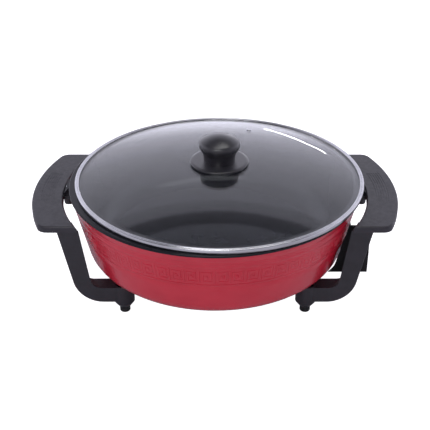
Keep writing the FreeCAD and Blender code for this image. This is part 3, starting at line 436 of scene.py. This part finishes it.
# ---- Feet ----
# Soft black rubber feet pushed up into the posts, slightly dusty where they stand.
foot_rubber = surface("foot_rubber", (0.010, 0.010, 0.011), (0.022, 0.022, 0.024), (0.55, 0.75),
                      mottle=260, grain=2800, grain_depth=0.00006, Specular_IOR_Level=0.35)
dress(foot_rubber, "front_left_foot", "rear_left_foot", "front_right_foot", "rear_right_foot",
      "knob_gaskets")

# ---- Lid glass ----
# A pane of clear tempered glass pressed into a low dome, with a flat margin that sits in the rim.
LID_CENTRE = Vector(((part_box("knob_base")[0].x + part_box("knob_base")[1].x) / 2, 0, 0))
GLASS_EDGE = 0.1792
GLASS_FLAT = 0.1722
GLASS_LOW = 0.1420
GLASS_THICK = 0.004
GLASS_RISE = 0.0185
GLASS_HOLE = 0.0045
DOME_ROWS = 40
dome_sphere = (GLASS_FLAT ** 2 + GLASS_RISE ** 2) / (2 * GLASS_RISE)


def dome_rise(radius):
    """Height of the dome above its margin at a radius."""
    return GLASS_RISE - dome_sphere + math.sqrt(dome_sphere ** 2 - radius ** 2)


rows = [GLASS_HOLE + (GLASS_FLAT - GLASS_HOLE) * row / DOME_ROWS for row in range(DOME_ROWS + 1)]
upper = [(r, GLASS_LOW + GLASS_THICK + dome_rise(r), 0) for r in rows]
lower = [(r, GLASS_LOW + dome_rise(r), 0) for r in reversed(rows)]
margin = [(GLASS_EDGE, GLASS_LOW + GLASS_THICK, 0.0006), (GLASS_EDGE, GLASS_LOW, 0.0006)]
bm = bmesh.new()
outline(bm, upper + margin + lower, closed=True)
spin_round(bm, 192)

lid_pane = bpy.data.materials.new("clear_glass")
lid_pane.use_nodes = True
tree = lid_pane.node_tree
shader = tree.nodes["Principled BSDF"]
shader.inputs["Base Color"].default_value = (0.93, 0.95, 0.97, 1)
shader.inputs["Transmission Weight"].default_value = 1.0
shader.inputs["IOR"].default_value = 1.5
tree.links.new(spread(tree, noise(tree, 14, 5.0), 0.0, 0.003, 0.45, 0.75), shader.inputs["Roughness"])
clear = tree.nodes.new("ShaderNodeBsdfTransparent")
clear.inputs["Color"].default_value = (0.88, 0.9, 0.92, 1)
either = tree.nodes.new("ShaderNodeMixShader")
ray = tree.nodes.new("ShaderNodeLightPath")
tree.links.new(ray.outputs["Is Shadow Ray"], either.inputs["Fac"])
tree.links.new(shader.outputs[0], either.inputs[1])
tree.links.new(clear.outputs[0], either.inputs[2])
tree.links.new(either.outputs[0], tree.nodes["Material Output"].inputs["Surface"])
piece(bm, "lid_pane", lid_pane, "lid", ["lid_glass"], place=LID_CENTRE)

# ---- Lid rim and vent ----
# A stainless steel band rolled round the edge of the glass. A groove parts its outer bead from a
# finer inner one, and a small steel eyelet lines the steam vent.
rolled_steel = ringed("rolled_steel", (0.60, 0.60, 0.63), (0.70, 0.70, 0.73), (0.16, 0.24), 1400,
                      0.000008, centre=LID_CENTRE, mottle=30, grain=4000, grain_depth=0.000008)
inner_bead = [(0.1748, 0.1461, 0), (0.1749, 0.1466, 0.0002), (0.1757, 0.1469, 0.0005),
              (0.1765, 0.1467, 0.0003)]
groove = [(0.1768, 0.1462, 0.0001), (0.1774, 0.1462, 0.0001)]
outer_bead = [(0.1779, 0.1471, 0.0005), (0.1795, 0.1471, 0.0009), (0.1800, 0.1452, 0.0009),
              (0.1800, 0.1430, 0.0008), (0.1784, 0.1413, 0.0008)]
under_flange = [(0.1748, 0.1413, 0.0003), (0.1748, 0.1419, 0)]
glass_seat = [(0.1794, 0.1419, 0.0003), (0.1794, 0.1461, 0.0003)]
bm = bmesh.new()
outline(bm, inner_bead + groove + outer_bead + under_flange + glass_seat, closed=True)
spin_round(bm, 256)
piece(bm, "rim_band", rolled_steel, "lid", ["lid_rim"], place=LID_CENTRE)
dress(rolled_steel, "vent_eyelet")

# ---- Knob ----
# A black phenolic knob: a broad disc on the glass, a waisted neck and a domed cap. A brass insert
# inside takes the screw that comes up through the glass.
KNOB_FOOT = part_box("knob_grip")[0].z
KNOB_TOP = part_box("knob_grip")[1].z
knob_satin = surface("knob_satin", (0.013, 0.012, 0.017), (0.017, 0.016, 0.022), (0.34, 0.40),
                     mottle=90, grain=2400, grain_depth=0.000012, Coat_Weight=0.7,
                     Coat_Roughness=0.28)
cap_edge = 0.0246
cap_widest = 0.0262
neck_waist = 0.0196
cap_sag = 0.0077
cap_sphere = (cap_edge ** 2 + cap_sag ** 2) / (2 * cap_sag)
cap_rows = [cap_edge * row / 12 for row in range(13)]
grip = [(r, KNOB_TOP - cap_sphere + math.sqrt(cap_sphere ** 2 - r ** 2), 0) for r in cap_rows[:-1]]
grip += [(cap_edge, KNOB_TOP - cap_sag, 0.0016), (cap_widest, KNOB_FOOT + 0.0208, 0.0030),
         (0.0248, KNOB_FOOT + 0.0166, 0.0012), (0.0212, KNOB_FOOT + 0.0116, 0.0020),
         (neck_waist, KNOB_FOOT + 0.0050, 0.0030), (0.0195, KNOB_FOOT, 0), (0, KNOB_FOOT, 0)]
bm = bmesh.new()
outline(bm, grip)
spin_round(bm, 128)
piece(bm, "knob_cap", knob_satin, "lid", ["knob_grip"], sharp=50, place=LID_CENTRE)

DISC_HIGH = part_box("knob_base")[1].z
disc_edge = 0.0364
disc_under = 0.1653          # where the disc meets its gasket
screw_hole = 0.0027
disc_rim = DISC_HIGH - 0.0034
disc = [(screw_hole, DISC_HIGH, 0), (disc_edge - 0.003, DISC_HIGH, 0.001),
        (disc_edge, DISC_HIGH - 0.0008, 0.0008),
        (disc_edge, disc_rim, 0.0007), (disc_edge - 0.005, disc_rim, 0),
        (disc_edge - 0.005, disc_under, 0), (screw_hole, disc_under, 0)]
bm = bmesh.new()
outline(bm, disc, closed=True)
spin_round(bm, 128)
piece(bm, "knob_disc", knob_satin, "lid", ["knob_base"], sharp=50, place=LID_CENTRE)
brass = surface("brass", (0.55, 0.38, 0.14), (0.68, 0.5, 0.22), (0.22, 0.34), mottle=500, grain=5000,
                grain_depth=0.00001, Metallic=1.0)
dress(brass, "knob_insert")
